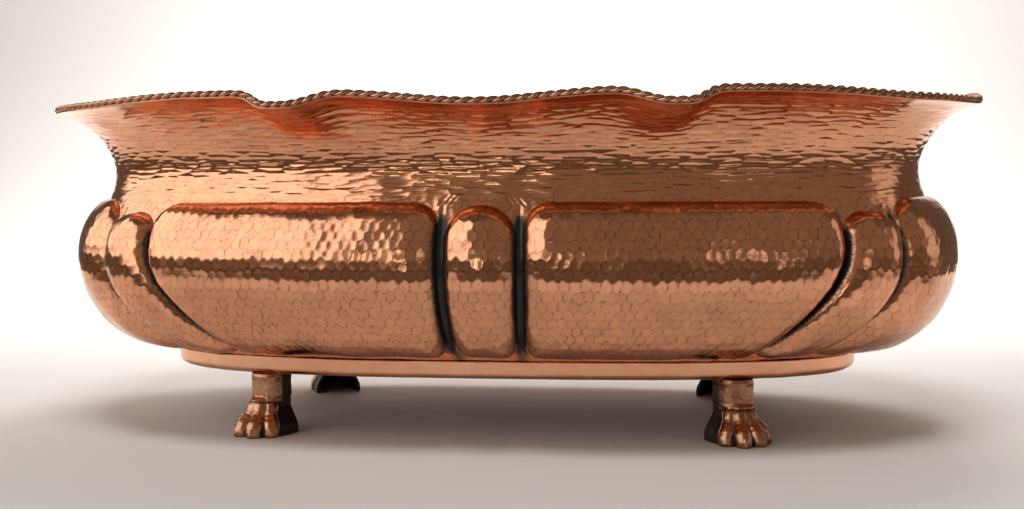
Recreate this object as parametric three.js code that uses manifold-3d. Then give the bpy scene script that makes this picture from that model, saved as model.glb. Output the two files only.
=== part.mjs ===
// Oval footed jardiniere in beaten copper: lobed bowl with a flared, wavy collar, twisted wire border,
// smooth plinth band and four hollow cast lion paws.
// Millimetres, +Z up. X runs along the length, -Y is the front, the floor is z = 0.
import * as THREE from "three";
import Module from "manifold-3d";

const wasm = await Module();
wasm.setup();

// ---- driving dimensions ----
const OVAL_POWER = 2.8; // plan curve: superellipse, fuller than an ellipse
const OVAL_GAP = 129.5; // half length minus half width, the same at every height
const SHEET = 1.2; // copper sheet of the body
const FLOOR_Z = 51.8; // underside of the body
const FLOOR_HALF = 236.6; // half length of the flat underside
const REF_HALF = 289.5; // half length of the oval on which arcs are measured
const LOBE_RAISE = 9.6; // how far a lobe stands out of the wall
const GROOVE_FLAT = 2.2; // half width of the floor of the grooves beside the middle lobe
const OUTER_FLAT = 1.1; // the same for the other grooves
const LOBE_TOP = 152; // height of the crease where lobes meet the collar
const LOBE_FOOT = 59.2; // height at which lobes run out above the plinth
const FOOT_EASE = 0.75; // below 1, a lobe's lower edge rises more gently than its sides
const CENTRE_GROOVE = 23.5; // groove beside the middle lobe, arc from the middle
const PANEL_GROOVE = 216; // groove at the outer side of a large panel
const END_GROOVE = 256.5; // groove at the end lobe
const GROOVE_SWEEP = 48; // how far outer grooves lean in towards the plinth
const NOTCH_ARC = 107.5; // pulled lip in the rim, arc from the middle
const NOTCH_DIP = 7.4;
const NOTCH_FLARE = 7;
const NOTCH_IN = 22; // the lip's reach towards the middle
const NOTCH_OUT = 16.5; // and towards the end
const NOTCH_POWER = 3; // above 2, flatter in the middle than a bell curve
const END_RISE = 8; // the rim sweeps up at each end
const END_FLARE = 4;
const END_REACH = 48; // length of that sweep to each side, measured along the rim
const ROPE_R = 2.4; // twisted border wire
const ROPE_SEAT = 0.5; // clearance under the wire
const ROPE_BACK = 1; // the wire lies this far in from the edge of the sheet
const GAP = 0.3; // clearance between touching pieces
const PLINTH_HALF = 237; // half length of the plinth band
const PLINTH_Z0 = 40;
const PLINTH_Z1 = 51.5;
const PLINTH_SHEET = 1.4;
const PLINTH_ROUND = 4.5; // rolled lower corner
const PLATE_T = 1.5; // base plate inside the band
const FOOT_X = 152;
const FOOT_Y = 85;
const FOOT_TURN = 0.47; // outward turn of each paw, radians
const FOOT_H = 39.7;
const FOOT_BACK = -8.5; // open back of the paw, from its middle
const FOOT_WALL = 2.4;
const LUG_T = 2.6; // closed top of the paw
const RIVET_R = 1.6;
const RIVET_HEAD = 3;
const RIVET_DOME = 1.6;
const RIVET_SIDE = 4.2; // rivets stand this far to each side of the paw's middle

// Outline of the wall between the lobes, as [half length, height].
const WALL = [
  [FLOOR_HALF, FLOOR_Z],
  [244, 55.4],
  [256, 61],
  [268, 70],
  [277, 80],
  [284, 92],
  [288.3, 104],
  [289.5, 116],
  [288, 128],
  [285, 139],
  [281.5, 148],
  [278.5, 156],
  [276, 164],
  [275, 173],
  [277.5, 184],
  [284.5, 196],
  [294, 205],
  [302.5, 209.2],
  [310.5, 211.4],
];

// ---- helpers ----
const clamp01 = (v) => Math.min(1, Math.max(0, v));
const smooth = (a, b, v) => {
  const k = clamp01((v - a) / (b - a));
  return k * k * (3 - 2 * k);
};
const bell = (v, w) => Math.exp(-(v / w) * (v / w));

/** Point of the oval: q is 0 at the middle of the front and 1 at the right-hand end. */
function oval(half, q) {
  const a = (q * Math.PI) / 2;
  const x = half * Math.pow(Math.max(Math.sin(a), 0), 2 / OVAL_POWER);
  const y = (half - OVAL_GAP) * Math.pow(Math.max(Math.cos(a), 0), 2 / OVAL_POWER);
  return [x, y];
}

// Arc along the reference oval for each q, so that features can be placed in millimetres.
const ARC_STEPS = 2000;
const ARC = [0];
for (let i = 1; i <= ARC_STEPS; i += 1) {
  const a = oval(REF_HALF, (i - 1) / ARC_STEPS);
  const b = oval(REF_HALF, i / ARC_STEPS);
  ARC.push(ARC[i - 1] + Math.hypot(b[0] - a[0], b[1] - a[1]));
}
const QUARTER = ARC[ARC_STEPS];

function arcToQ(s) {
  let lo = 0;
  let hi = ARC_STEPS;
  while (hi - lo > 1) {
    const mid = (lo + hi) >> 1;
    if (ARC[mid] > s) hi = mid;
    else lo = mid;
  }
  const k = (s - ARC[lo]) / (ARC[hi] - ARC[lo]);
  return (lo + clamp01(k)) / ARC_STEPS;
}

const wallCurve = new THREE.SplineCurve(WALL.map((p) => new THREE.Vector2(p[0], p[1])));
const WALL_LEN = wallCurve.getLength();

/** Distance along the wall outline at which it reaches a height. */
function runAtHeight(z) {
  let lo = 0;
  let hi = 1;
  for (let i = 0; i < 40; i += 1) {
    const mid = (lo + hi) / 2;
    if (wallCurve.getPointAt(mid).y < z) lo = mid;
    else hi = mid;
  }
  return lo * WALL_LEN;
}
const RUN_FOOT = runAtHeight(LOBE_FOOT);
const RUN_TOP = runAtHeight(LOBE_TOP);

// Grooves lean in towards the plinth below the widest part.
const panelGroove = (z) => PANEL_GROOVE - GROOVE_SWEEP * Math.pow(clamp01((128 - z) / 76), 1.6);
const endGroove = (z) => END_GROOVE - GROOVE_SWEEP * Math.pow(clamp01((120 - z) / 68), 2);
const lobeEdges = (z) => [
  [-CENTRE_GROOVE, CENTRE_GROOVE],
  [CENTRE_GROOVE, panelGroove(z)],
  [panelGroove(z), endGroove(z)],
  [endGroove(z), 2 * QUARTER - endGroove(z)],
];
// For each lobe: rounding of the raised edge, radii of its upper and lower corners, drop of its top
// edge, and how much further down the wall its lower edge reaches.
const LOBES = [
  { round: 19, corner: 21, toe: 10, drop: 2, low: 0 },
  { round: 17, corner: 17, toe: 11, drop: 0, low: 0 },
  { round: 16, corner: 17, toe: 15, drop: 7, low: 0 },
  { round: 30, corner: 24, toe: 24, drop: -2.5, low: 2.6 },
];

/** How far the wall is raised at arc s and run p. */
function raise(s, p, z) {
  const edges = lobeEdges(z);
  for (let i = 0; i < edges.length; i += 1) {
    const [a, b] = edges[i];
    if (s < a || s > b) continue;
    const lobe = LOBES[i];
    const side = Math.min(s - a - (i < 2 ? GROOVE_FLAT : OUTER_FLAT), b - s - (i < 1 ? GROOVE_FLAT : OUTER_FLAT));
    const top = RUN_TOP - lobe.drop - p;
    const foot = (p - RUN_FOOT + lobe.low) * FOOT_EASE;
    const end = Math.min(top, foot);
    let d = Math.min(side, end);
    const corner = top < foot ? lobe.corner : lobe.toe;
    const cx = corner - side;
    const cy = corner - end;
    if (cx > 0 && cy > 0) d = corner - Math.hypot(cx, cy);
    if (d <= 0) return 0;
    const k = 1 - Math.min(d / lobe.round, 1);
    return LOBE_RAISE * Math.sqrt(1 - k * k);
  }
  return 0;
}

/** Height change of the rim around the oval. */
function wave(s) {
  const side = s - NOTCH_ARC;
  const notch = Math.exp(-Math.pow(Math.abs(side) / (side > 0 ? NOTCH_OUT : NOTCH_IN), NOTCH_POWER));
  const tip = bell(s - QUARTER, END_REACH);
  const lift = 2.6 - 6.2 * bell(s, 52) - 3.2 * smooth(160, 250, s);
  return {
    z: lift - NOTCH_DIP * notch + END_RISE * tip,
    out: NOTCH_FLARE * notch + END_FLARE * tip,
  };
}

/** Point of the wall's outer side; s is the arc (0..QUARTER), u the share of the outline. */
function wallPoint(s, u) {
  const at = wallCurve.getPointAt(u);
  const along = wallCurve.getTangentAt(u);
  const h = raise(s, u * WALL_LEN, at.y);
  const free = smooth(186, 211, at.y);
  const w = wave(s);
  const half = at.x + h * along.y + w.out * free * free;
  const z = at.y - h * along.x + w.z * free;
  const [x, y] = oval(half, arcToQ(s));
  return new THREE.Vector3(x, -y, z);
}

// ---- mesh from rings ----
/** Closed mesh from rings of equal count, each running counter-clockwise seen from above. */
function ringsToMesh(rings, capFirst, capLast, loop) {
  const pos = [];
  const idx = [];
  const n = rings[0].length;
  for (const r of rings) {
    for (const p of r) pos.push(p.x, p.y, p.z);
  }
  const last = loop ? rings.length : rings.length - 1;
  for (let j = 0; j < last; j += 1) {
    const k = (j + 1) % rings.length;
    for (let i = 0; i < n; i += 1) {
      const m = (i + 1) % n;
      idx.push(j * n + i, j * n + m, k * n + m);
      idx.push(j * n + i, k * n + m, k * n + i);
    }
  }
  const cap = (j, up) => {
    const c = new THREE.Vector3();
    for (const p of rings[j]) c.add(p);
    c.divideScalar(n);
    pos.push(c.x, c.y, c.z);
    const m = pos.length / 3 - 1;
    for (let i = 0; i < n; i += 1) {
      const a = j * n + i;
      const b = j * n + ((i + 1) % n);
      if (up) idx.push(a, b, m);
      else idx.push(b, a, m);
    }
  };
  if (capFirst) cap(0, false);
  if (capLast) cap(rings.length - 1, true);
  const g = new THREE.BufferGeometry();
  g.setAttribute("position", new THREE.Float32BufferAttribute(pos, 3));
  g.setIndex(idx);
  return g;
}

/** Arcs at which the body has columns in the first quarter. */
function bodyArcs() {
  const out = [];
  const span = (k, d) => out.push([k, d]);
  // each entry: section number and distance from its start (>= 0) or from its end (< 0)
  for (const d of [0, 8, 15, 19.5]) span(0, d);
  for (const d of [0, 2.4, 6, 14]) span(1, d);
  for (const f of [0.19, 0.32, 0.4, 0.468, 0.522, 0.605, 0.76]) span(1, f);
  for (const d of [-14, -6, -2.4]) span(1, d);
  for (const d of [0, 2.4, 6, 13]) span(2, d);
  for (const d of [-13, -6, -2.4]) span(2, d);
  for (const d of [0, 2.4, 6, 14, 28]) span(3, d);
  for (const f of [0.45, 0.7, 0.87, 0.945]) span(3, f);
  return out;
}

function columnArc(entry, z) {
  const [k, d] = entry;
  const knots = [0, CENTRE_GROOVE, panelGroove(z), endGroove(z), QUARTER];
  const len = knots[k + 1] - knots[k];
  if (d < 0) return knots[k + 1] + d;
  if (d > 0 && d < 1) return knots[k] + d * len;
  return knots[k] + d;
}

/** A full ring of the body at share u, from one quarter mirrored. */
function bodyRing(u, inset) {
  const z = wallCurve.getPointAt(u).y;
  const arcs = bodyArcs().map((e) => columnArc(e, z));
  const at = (s, quadrant) => {
    const e = 0.5;
    const p = wallPoint(s, u);
    if (inset > 0) {
      const s0 = Math.max(s - e, 0);
      const s1 = Math.min(s + e, QUARTER);
      const side = wallPoint(s1, u).sub(wallPoint(s0, u));
      const u0 = Math.max(u - 0.002, 0);
      const u1 = Math.min(u + 0.002, 1);
      const up = wallPoint(s, u1).sub(wallPoint(s, u0));
      const normal = side.cross(up).normalize();
      p.addScaledVector(normal, -inset);
    }
    const sx = quadrant === 1 || quadrant === 2 ? 1 : -1;
    const sy = quadrant === 2 || quadrant === 3 ? -1 : 1;
    return new THREE.Vector3(sx * p.x, sy * p.y, p.z);
  };
  // counter-clockwise from the middle of the front: front right, back right, back left, front left
  const ring = [];
  for (const s of arcs) ring.push(at(s, 1));
  ring.push(at(QUARTER, 1));
  for (const s of [...arcs].reverse()) ring.push(at(s, 2));
  for (const s of arcs.slice(1)) ring.push(at(s, 3));
  ring.push(at(QUARTER, 3));
  for (const s of [...arcs].reverse().slice(0, -1)) ring.push(at(s, 4));
  return ring;
}

function bodyGeometry() {
  const runs = [0, RUN_FOOT - 2.6, RUN_FOOT + 1, RUN_FOOT + 5, RUN_FOOT + 12, RUN_FOOT + 24, RUN_FOOT + 39];
  runs.push(RUN_FOOT + 56, RUN_FOOT + 73, RUN_TOP - 15, RUN_TOP - 6, RUN_TOP - 1.5, RUN_TOP + 5);
  const rest = WALL_LEN - RUN_TOP;
  for (const f of [0.3, 0.47, 0.62, 0.75, 0.87, 1]) runs.push(RUN_TOP + f * rest);
  const outer = runs.map((r) => bodyRing(Math.min(r / WALL_LEN, 1), 0));
  const inner = runs.slice(1).map((r) => bodyRing(Math.min(r / WALL_LEN, 1), SHEET));
  const floorIn = inner[0].map((p) => new THREE.Vector3(p.x, p.y, FLOOR_Z + SHEET));
  for (const p of floorIn) {
    p.x *= 0.945;
    p.y *= 0.905;
  }
  return ringsToMesh([...outer, ...inner.reverse(), floorIn], true, true, false);
}

// ---- border wire ----
/** Round wire lying on the flared edge, with a station at every column of the body. */
function ropeGeometry() {
  const sides = 8;
  const edge = bodyRing(1, 0);
  const below = bodyRing(0.97, 0);
  const above = bodyRing(1, SHEET);
  const centres = edge.map((p, i) => {
    const outward = p.clone().sub(below[i]).normalize();
    const upward = above[i].clone().sub(p).normalize();
    return p.clone().addScaledVector(outward, -ROPE_BACK).addScaledVector(upward, SHEET + ROPE_R + ROPE_SEAT);
  });
  const rings = centres.map((c, i) => {
    const before = centres[(i + centres.length - 1) % centres.length];
    const after = centres[(i + 1) % centres.length];
    const along = after.clone().sub(before).normalize();
    const side = new THREE.Vector3(along.y, -along.x, 0).normalize();
    const up = side.clone().cross(along);
    const ring = [];
    for (let k = 0; k < sides; k += 1) {
      const a = (k / sides) * 2 * Math.PI;
      ring.push(c.clone().addScaledVector(side, ROPE_R * Math.cos(a)).addScaledVector(up, -ROPE_R * Math.sin(a)));
    }
    return ring;
  });
  return ringsToMesh(rings, false, false, true);
}

// ---- plinth ----
function ovalRing(half, z, count) {
  const ring = [];
  for (let i = 0; i < count; i += 1) {
    const s = (i / count) * 4 * QUARTER;
    const quad = Math.floor(s / QUARTER);
    const r = s - quad * QUARTER;
    const [x, y] = oval(half, arcToQ(quad % 2 === 0 ? r : QUARTER - r));
    const sx = quad < 2 ? 1 : -1;
    const sy = quad === 1 || quad === 2 ? 1 : -1;
    ring.push(new THREE.Vector3(sx * x, sy * y, z));
  }
  return ring;
}

/** Band with a rolled lower corner whose edge meets the base plate. */
function plinthGeometry() {
  const outline = [];
  const r = PLINTH_ROUND - PLINTH_SHEET;
  for (let i = 0; i <= 3; i += 1) {
    const a = (i / 3) * (Math.PI / 2);
    const half = PLINTH_HALF - PLINTH_ROUND + PLINTH_ROUND * Math.sin(a);
    outline.push([half, PLINTH_Z0 + PLINTH_ROUND * (1 - Math.cos(a))]);
  }
  outline.push([PLINTH_HALF, PLINTH_Z1]);
  outline.push([PLINTH_HALF - PLINTH_SHEET, PLINTH_Z1]);
  for (let i = 2; i >= 0; i -= 1) {
    const a = (i / 2) * (Math.PI / 2);
    outline.push([PLINTH_HALF - PLINTH_ROUND + r * Math.sin(a), PLINTH_Z0 + PLINTH_ROUND - r * Math.cos(a)]);
  }
  const rings = outline.map(([half, z]) => ovalRing(half, z, 96));
  return ringsToMesh(rings, false, false, true);
}

// ---- manifold helpers ----
function toManifold(geometry) {
  const p = geometry.getAttribute("position");
  const mesh = new wasm.Mesh({
    numProp: 3,
    vertProperties: Float32Array.from(p.array),
    triVerts: Uint32Array.from(geometry.getIndex().array),
  });
  mesh.merge();
  return new wasm.Manifold(mesh);
}

function fromManifold(solid) {
  const mesh = solid.getMesh();
  const g = new THREE.BufferGeometry();
  const count = mesh.vertProperties.length / mesh.numProp;
  const pos = new Float32Array(count * 3);
  for (let i = 0; i < count; i += 1) {
    for (let k = 0; k < 3; k += 1) pos[i * 3 + k] = mesh.vertProperties[i * mesh.numProp + k];
  }
  g.setAttribute("position", new THREE.BufferAttribute(pos, 3));
  g.setIndex(Array.from(mesh.triVerts));
  return g;
}

/** Upright turned piece; the profile lists [radius, height] from the bottom up. */
function turned(x, y, profile, sides) {
  const rings = profile.map(([radius, z]) => {
    const ring = [];
    for (let i = 0; i < sides; i += 1) {
      const a = (i / sides) * 2 * Math.PI;
      ring.push(new THREE.Vector3(x + radius * Math.cos(a), y + radius * Math.sin(a), z));
    }
    return ring;
  });
  return ringsToMesh(rings, true, true, false);
}

// ---- feet ----
const FEET = [
  { name: "front_left", sx: -1, sy: -1 },
  { name: "front_right", sx: 1, sy: -1 },
  { name: "rear_left", sx: -1, sy: 1 },
  { name: "rear_right", sx: 1, sy: 1 },
];

/** Centre and heading of one paw; the heading is the way its toes point. */
function pawPlace(f) {
  return {
    x: f.sx * FOOT_X,
    y: f.sy * FOOT_Y,
    dx: f.sx * Math.sin(FOOT_TURN),
    dy: f.sy * Math.cos(FOOT_TURN),
  };
}

/** The two rivets of a paw stand to each side of its middle. */
function rivetSpots(f) {
  const at = pawPlace(f);
  return [-1, 1].map((k) => [at.x - k * RIVET_SIDE * at.dy, at.y + k * RIVET_SIDE * at.dx]);
}

function drill(solid, spots, z0, z1) {
  let out = solid;
  for (const [x, y] of spots) {
    const r = RIVET_R + GAP;
    out = out.subtract(toManifold(turned(x, y, [[r, z0], [r, z1]], 12)));
  }
  return out;
}

function basePlateGeometry() {
  const half = PLINTH_HALF - PLINTH_ROUND - GAP;
  const rings = [PLINTH_Z0, PLINTH_Z0 + PLATE_T].map((z) => ovalRing(half, z, 96));
  let plate = toManifold(ringsToMesh(rings, true, true, false));
  for (const f of FEET) plate = drill(plate, rivetSpots(f), PLINTH_Z0 - 1, PLINTH_Z0 + PLATE_T + 1);
  return fromManifold(plate);
}

/** Half width, forward reach and furrow depth of the paw at height z. */
function pawSize(z) {
  const low = 1 - smooth(3, 26, z);
  const ball = bell(z - 5, 6);
  return {
    wide: 10.6 + 8.2 * low + 0.8 * ball,
    reach: 9.8 + 15.5 * Math.pow(low, 1.15) + 1.4 * ball,
    furrow: 2 * (1 - smooth(17, 22, z)),
  };
}

/** D-shaped line round the paw at height z: toes ahead, straight across the back. */
function pawLine(z, inset, back, count) {
  const { wide, reach, furrow } = pawSize(z);
  const line = [[-(wide - inset), back]];
  for (let i = 0; i <= count; i += 1) {
    const k = (i / count) * 2 - 1;
    const a = k * (Math.PI / 2);
    const cut = inset + furrow * Math.pow(Math.abs(Math.cos(k * Math.PI * 2)), 5) * (Math.abs(k) < 0.9 ? 1 : 0);
    const side = (wide - cut) * Math.sin(a);
    line.push([side, (reach - cut) * Math.pow(Math.max(Math.cos(a), 0), 0.8)]);
  }
  line.push([wide - inset, back]);
  return line;
}

function pawSolid(f, inset, back, heights, count) {
  const at = pawPlace(f);
  const rings = heights.map((z) =>
    pawLine(Math.min(Math.max(z, 0), FOOT_H), inset, back, count).map(([side, ahead]) => {
      const x = at.x - side * at.dy + ahead * at.dx;
      const y = at.y + side * at.dx + ahead * at.dy;
      return new THREE.Vector3(x, y, z);
    }),
  );
  return toManifold(ringsToMesh(rings, true, true, false));
}

/** Hollow cast paw: closed on top, open at the back and underneath. */
function pawGeometry(f) {
  const outside = pawSolid(f, 0, FOOT_BACK, [0, 2.5, 8, 14, 19, 23, 30, FOOT_H], 24);
  const inside = pawSolid(f, FOOT_WALL, FOOT_BACK - 4, [-1, 8, 16, 24, FOOT_H - LUG_T], 12);
  return fromManifold(drill(outside.subtract(inside), rivetSpots(f), FOOT_H - LUG_T - 1, FOOT_H + 1));
}

function rivetGeometry([x, y]) {
  const under = FOOT_H - LUG_T - GAP;
  const over = PLINTH_Z0 + PLATE_T + GAP;
  const profile = [
    [RIVET_HEAD * 0.55, under - RIVET_DOME],
    [RIVET_HEAD, under - RIVET_DOME * 0.35],
    [RIVET_HEAD, under],
    [RIVET_R, under],
    [RIVET_R, over],
    [RIVET_HEAD, over],
    [RIVET_HEAD, over + RIVET_DOME * 0.35],
    [RIVET_HEAD * 0.55, over + RIVET_DOME],
  ];
  return turned(x, y, profile, 12);
}

// ---- finishes ----
const copper = (color, roughness) => new THREE.MeshStandardMaterial({ color, metalness: 1, roughness });
const FINISH = {
  body: copper(0xc47a4c, 0.3),
  border: copper(0xb4683e, 0.35),
  plinth: copper(0xcf8355, 0.25),
  plate: copper(0x9a5a38, 0.5),
  paw: copper(0x8a4f30, 0.4),
  rivet: copper(0xa8643c, 0.45),
};

// ---- assembly ----
const part = new THREE.Group();
part.name = "jardiniere";

function add(name, geometry, material) {
  geometry.computeVertexNormals();
  const mesh = new THREE.Mesh(geometry, material);
  mesh.name = name;
  part.add(mesh);
}

add("body", bodyGeometry(), FINISH.body);
add("rim_rope", ropeGeometry(), FINISH.border);
add("plinth_band", plinthGeometry(), FINISH.plinth);
add("base_plate", basePlateGeometry(), FINISH.plate);
for (const f of FEET) {
  add(`paw_${f.name}`, pawGeometry(f), FINISH.paw);
  rivetSpots(f).forEach((spot, i) => add(`rivet_${f.name}_${i + 1}`, rivetGeometry(spot), FINISH.rivet));
}

export default part;
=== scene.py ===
"""Oval copper jardiniere on lion paws, modelled over its CAD frame."""

import math

import bpy
import numpy as np
from mathutils import Matrix, Vector


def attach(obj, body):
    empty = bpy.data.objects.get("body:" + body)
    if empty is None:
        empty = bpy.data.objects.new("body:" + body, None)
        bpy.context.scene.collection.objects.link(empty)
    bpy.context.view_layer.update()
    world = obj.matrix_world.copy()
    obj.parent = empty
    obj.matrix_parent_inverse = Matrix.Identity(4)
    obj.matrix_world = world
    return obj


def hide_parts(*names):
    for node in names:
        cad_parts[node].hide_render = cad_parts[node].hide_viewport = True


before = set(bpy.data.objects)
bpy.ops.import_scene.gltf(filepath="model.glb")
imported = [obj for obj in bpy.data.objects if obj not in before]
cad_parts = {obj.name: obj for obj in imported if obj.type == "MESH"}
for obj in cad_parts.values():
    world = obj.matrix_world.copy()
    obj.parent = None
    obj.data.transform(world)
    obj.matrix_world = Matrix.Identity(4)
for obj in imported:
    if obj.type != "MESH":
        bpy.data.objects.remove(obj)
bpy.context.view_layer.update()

MM = 0.001

# ---------------------------------------------------------------- dimensions, millimetres
# the same as the CAD's: see there for what each one measures
OVAL_POWER = 2.8
OVAL_GAP = 129.5
SHEET = 1.2
FLOOR_Z = 51.8
REF_HALF = 289.5
LOBE_RAISE = 9.6
GROOVE_FLAT = 2.2
OUTER_FLAT = 1.1
LOBE_TOP = 152.0
LOBE_FOOT = 59.2
FOOT_EASE = 0.75
CENTRE_GROOVE = 23.5
PANEL_GROOVE = 216.0
END_GROOVE = 256.5
GROOVE_SWEEP = 48.0
NOTCH_ARC = 107.5
NOTCH_DIP = 7.4
NOTCH_FLARE = 7.0
NOTCH_IN = 22.0
NOTCH_OUT = 16.5
NOTCH_POWER = 3.0
END_RISE = 8.0
END_FLARE = 4.0
END_REACH = 48.0
ROPE_R = 2.4
PLINTH_HALF = 237.0
PLINTH_Z0 = 40.0
PLINTH_Z1 = 51.5
PLINTH_SHEET = 1.4
PLINTH_ROUND = 4.5
PLATE_T = 1.5
FOOT_X = 152.0
FOOT_Y = 85.0
FOOT_TURN = 0.47
FOOT_H = 39.7
FOOT_BACK = -8.5
FOOT_WALL = 2.4
LUG_T = 2.6
RIVET_R = 1.6
RIVET_HEAD = 3.0
RIVET_DOME = 1.6
RIVET_SIDE = 4.2
GAP = 0.3

# outline of the wall between the lobes: half length, height
WALL = [
    (236.6, 51.8),
    (244, 55.4),
    (256, 61),
    (268, 70),
    (277, 80),
    (284, 92),
    (288.3, 104),
    (289.5, 116),
    (288, 128),
    (285, 139),
    (281.5, 148),
    (278.5, 156),
    (276, 164),
    (275, 173),
    (277.5, 184),
    (284.5, 196),
    (294, 205),
    (302.5, 209.2),
    (310.5, 211.4),
]


# ---------------------------------------------------------------- small maths
def clamp01(v):
    return np.clip(v, 0.0, 1.0)


def smooth(a, b, v):
    k = clamp01((np.asarray(v, float) - a) / (b - a))
    return k * k * (3 - 2 * k)


def bell(v, w):
    return np.exp(-((np.asarray(v, float) / w) ** 2))


def wall_table():
    """The wall outline as a dense table: run, half length, height, and its direction."""
    pts = np.array(WALL, float)
    out = []
    for i in range(len(pts) - 1):
        p0, p1 = pts[max(i - 1, 0)], pts[i]
        p2, p3 = pts[i + 1], pts[min(i + 2, len(pts) - 1)]
        for t in np.linspace(0, 1, 60, endpoint=False):
            v0, v1 = (p2 - p0) / 2, (p3 - p1) / 2
            a = (2 * p1 - 2 * p2 + v0 + v1) * t**3
            out.append(a + (-3 * p1 + 3 * p2 - 2 * v0 - v1) * t**2 + v0 * t + p1)
    out.append(pts[-1])
    out = np.array(out)
    run = np.concatenate([[0], np.cumsum(np.hypot(*np.diff(out, axis=0).T))])
    return run, out[:, 0], out[:, 1]


RUN_T, HALF_T, Z_T = wall_table()
WALL_LEN = RUN_T[-1]
DX_T = np.gradient(HALF_T, RUN_T)
DZ_T = np.gradient(Z_T, RUN_T)
RUN_FOOT = float(np.interp(LOBE_FOOT, Z_T, RUN_T))
RUN_TOP = float(np.interp(LOBE_TOP, Z_T, RUN_T))

A_T = np.concatenate([np.linspace(0, 0.02, 2000, endpoint=False), np.linspace(0.02, 1, 6000)])
A_T = np.unique(np.concatenate([A_T, 1 - A_T])) * math.pi / 2
X_REF = REF_HALF * np.sin(A_T) ** (2 / OVAL_POWER)
Y_REF = (REF_HALF - OVAL_GAP) * np.clip(np.cos(A_T), 0, 1) ** (2 / OVAL_POWER)
ARC_T = np.concatenate([[0], np.cumsum(np.hypot(np.diff(X_REF), np.diff(Y_REF)))])
QUARTER = float(ARC_T[-1])


def fold(arc):
    """Arc round the whole oval (from the middle of the front) to arc within a quarter."""
    return QUARTER - np.abs(np.mod(arc, 2 * QUARTER) - QUARTER)


def oval(half, arc):
    """Plan position for arcs round the whole oval."""
    a = np.interp(fold(arc), ARC_T, A_T)
    m = np.mod(arc, 4 * QUARTER)
    sx = np.where(m <= 2 * QUARTER, 1.0, -1.0)
    sy = np.where((m >= QUARTER) & (m <= 3 * QUARTER), 1.0, -1.0)
    x = sx * half * np.clip(np.sin(a), 0, 1) ** (2 / OVAL_POWER)
    y = sy * (half - OVAL_GAP) * np.clip(np.cos(a), 0, 1) ** (2 / OVAL_POWER)
    return x, y


def panel_groove(z):
    return PANEL_GROOVE - GROOVE_SWEEP * clamp01((128 - z) / 76) ** 1.6


def end_groove(z):
    return END_GROOVE - GROOVE_SWEEP * clamp01((120 - z) / 68) ** 2


# each lobe: rounding of the raised edge, upper and lower corner radius, drop of the top edge,
# reach of the foot
LOBES = [
    (19.0, 21.0, 10.0, 2.0, 0.0),
    (17.0, 17.0, 11.0, 0.0, 0.0),
    (16.0, 17.0, 15.0, 7.0, 0.0),
    (30.0, 24.0, 24.0, -2.5, 2.6),
]


def lobe_raise(s, run, z):
    """How far the wall is raised between the grooves, and the depth into the lobe's edge."""
    g0 = np.full_like(z, CENTRE_GROOVE)
    g1, g2 = panel_groove(z), end_groove(z)
    edges = [(-g0, g0), (g0, g1), (g1, g2), (g2, 2 * QUARTER - g2)]
    height = np.zeros_like(s)
    depth = np.full_like(s, -5.0)
    flats = [GROOVE_FLAT, GROOVE_FLAT, OUTER_FLAT, OUTER_FLAT, OUTER_FLAT]
    for (a, b), (rounding, upper, lower, drop, low), fa, fb in zip(edges, LOBES, flats, flats[1:]):
        inside = (s >= a) & (s <= b)
        side = np.minimum(s - a - fa, b - s - fb)
        top, foot = RUN_TOP - drop - run, (run - RUN_FOOT + low) * FOOT_EASE
        end = np.minimum(top, foot)
        corner = np.where(top < foot, upper, lower)
        d = np.minimum(side, end)
        cx, cy = corner - side, corner - end
        d = np.where((cx > 0) & (cy > 0), corner - np.hypot(cx, cy), d)
        k = 1 - np.clip(d / rounding, 0, 1)
        h = LOBE_RAISE * np.sqrt(1 - k * k)
        height = np.where(inside, np.where(d > 0, h, 0), height)
        depth = np.where(inside, d, depth)
    return height, depth


def groove_gap(s, z):
    """Distance along the wall to the nearest groove's middle."""
    middles = (CENTRE_GROOVE, panel_groove(z), end_groove(z))
    return np.minimum.reduce([np.abs(s - middle) for middle in middles])


def rim_wave(s):
    """Rise and outward lean of the rim: a dipped lip in each quarter and an upward sweep at the ends."""
    side = s - NOTCH_ARC
    notch = np.exp(-(np.abs(side / np.where(side > 0, NOTCH_OUT, NOTCH_IN)) ** NOTCH_POWER))
    tip = bell(s - QUARTER, END_REACH)
    lift = 2.6 - 6.2 * bell(s, 52) - 3.2 * smooth(160, 250, s)
    return lift - NOTCH_DIP * notch + END_RISE * tip, NOTCH_FLARE * notch + END_FLARE * tip


def wall_points(arc, run):
    """Outer side of the wall; arc and run are arrays of one shape."""
    half, z = np.interp(run, RUN_T, HALF_T), np.interp(run, RUN_T, Z_T)
    dx, dz = np.interp(run, RUN_T, DX_T), np.interp(run, RUN_T, DZ_T)
    s = fold(arc)
    h, _ = lobe_raise(s, run, z)
    free = smooth(186, 211, z)
    rise, lean = rim_wave(s)
    x, y = oval(half + h * dz + lean * free * free, arc)
    return np.stack([x, y, z - h * dx + rise * free], -1)


# ---------------------------------------------------------------- surface patterns
def soft_noise(u, v, period, size, seed, octaves=3):
    """Smooth noise from a few dozen waves, repeating along u every period."""
    rng = np.random.default_rng(seed)
    total = np.zeros(np.broadcast(u, v).shape)
    amp, norm = 1.0, 0.0
    for _ in range(octaves):
        for _ in range(9):
            angle = rng.uniform(0, math.pi)
            k = 2 * math.pi / (size * rng.uniform(0.7, 1.4))
            m = round(k * math.cos(angle) * period / (2 * math.pi))
            wave = 2 * math.pi * m * u / period + k * math.sin(angle) * v
            total += amp * np.sin(wave + rng.uniform(0, 6.3))
        norm += amp * amp * 4.5
        amp *= 0.5
        size *= 0.5
    return total / math.sqrt(norm)


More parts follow.
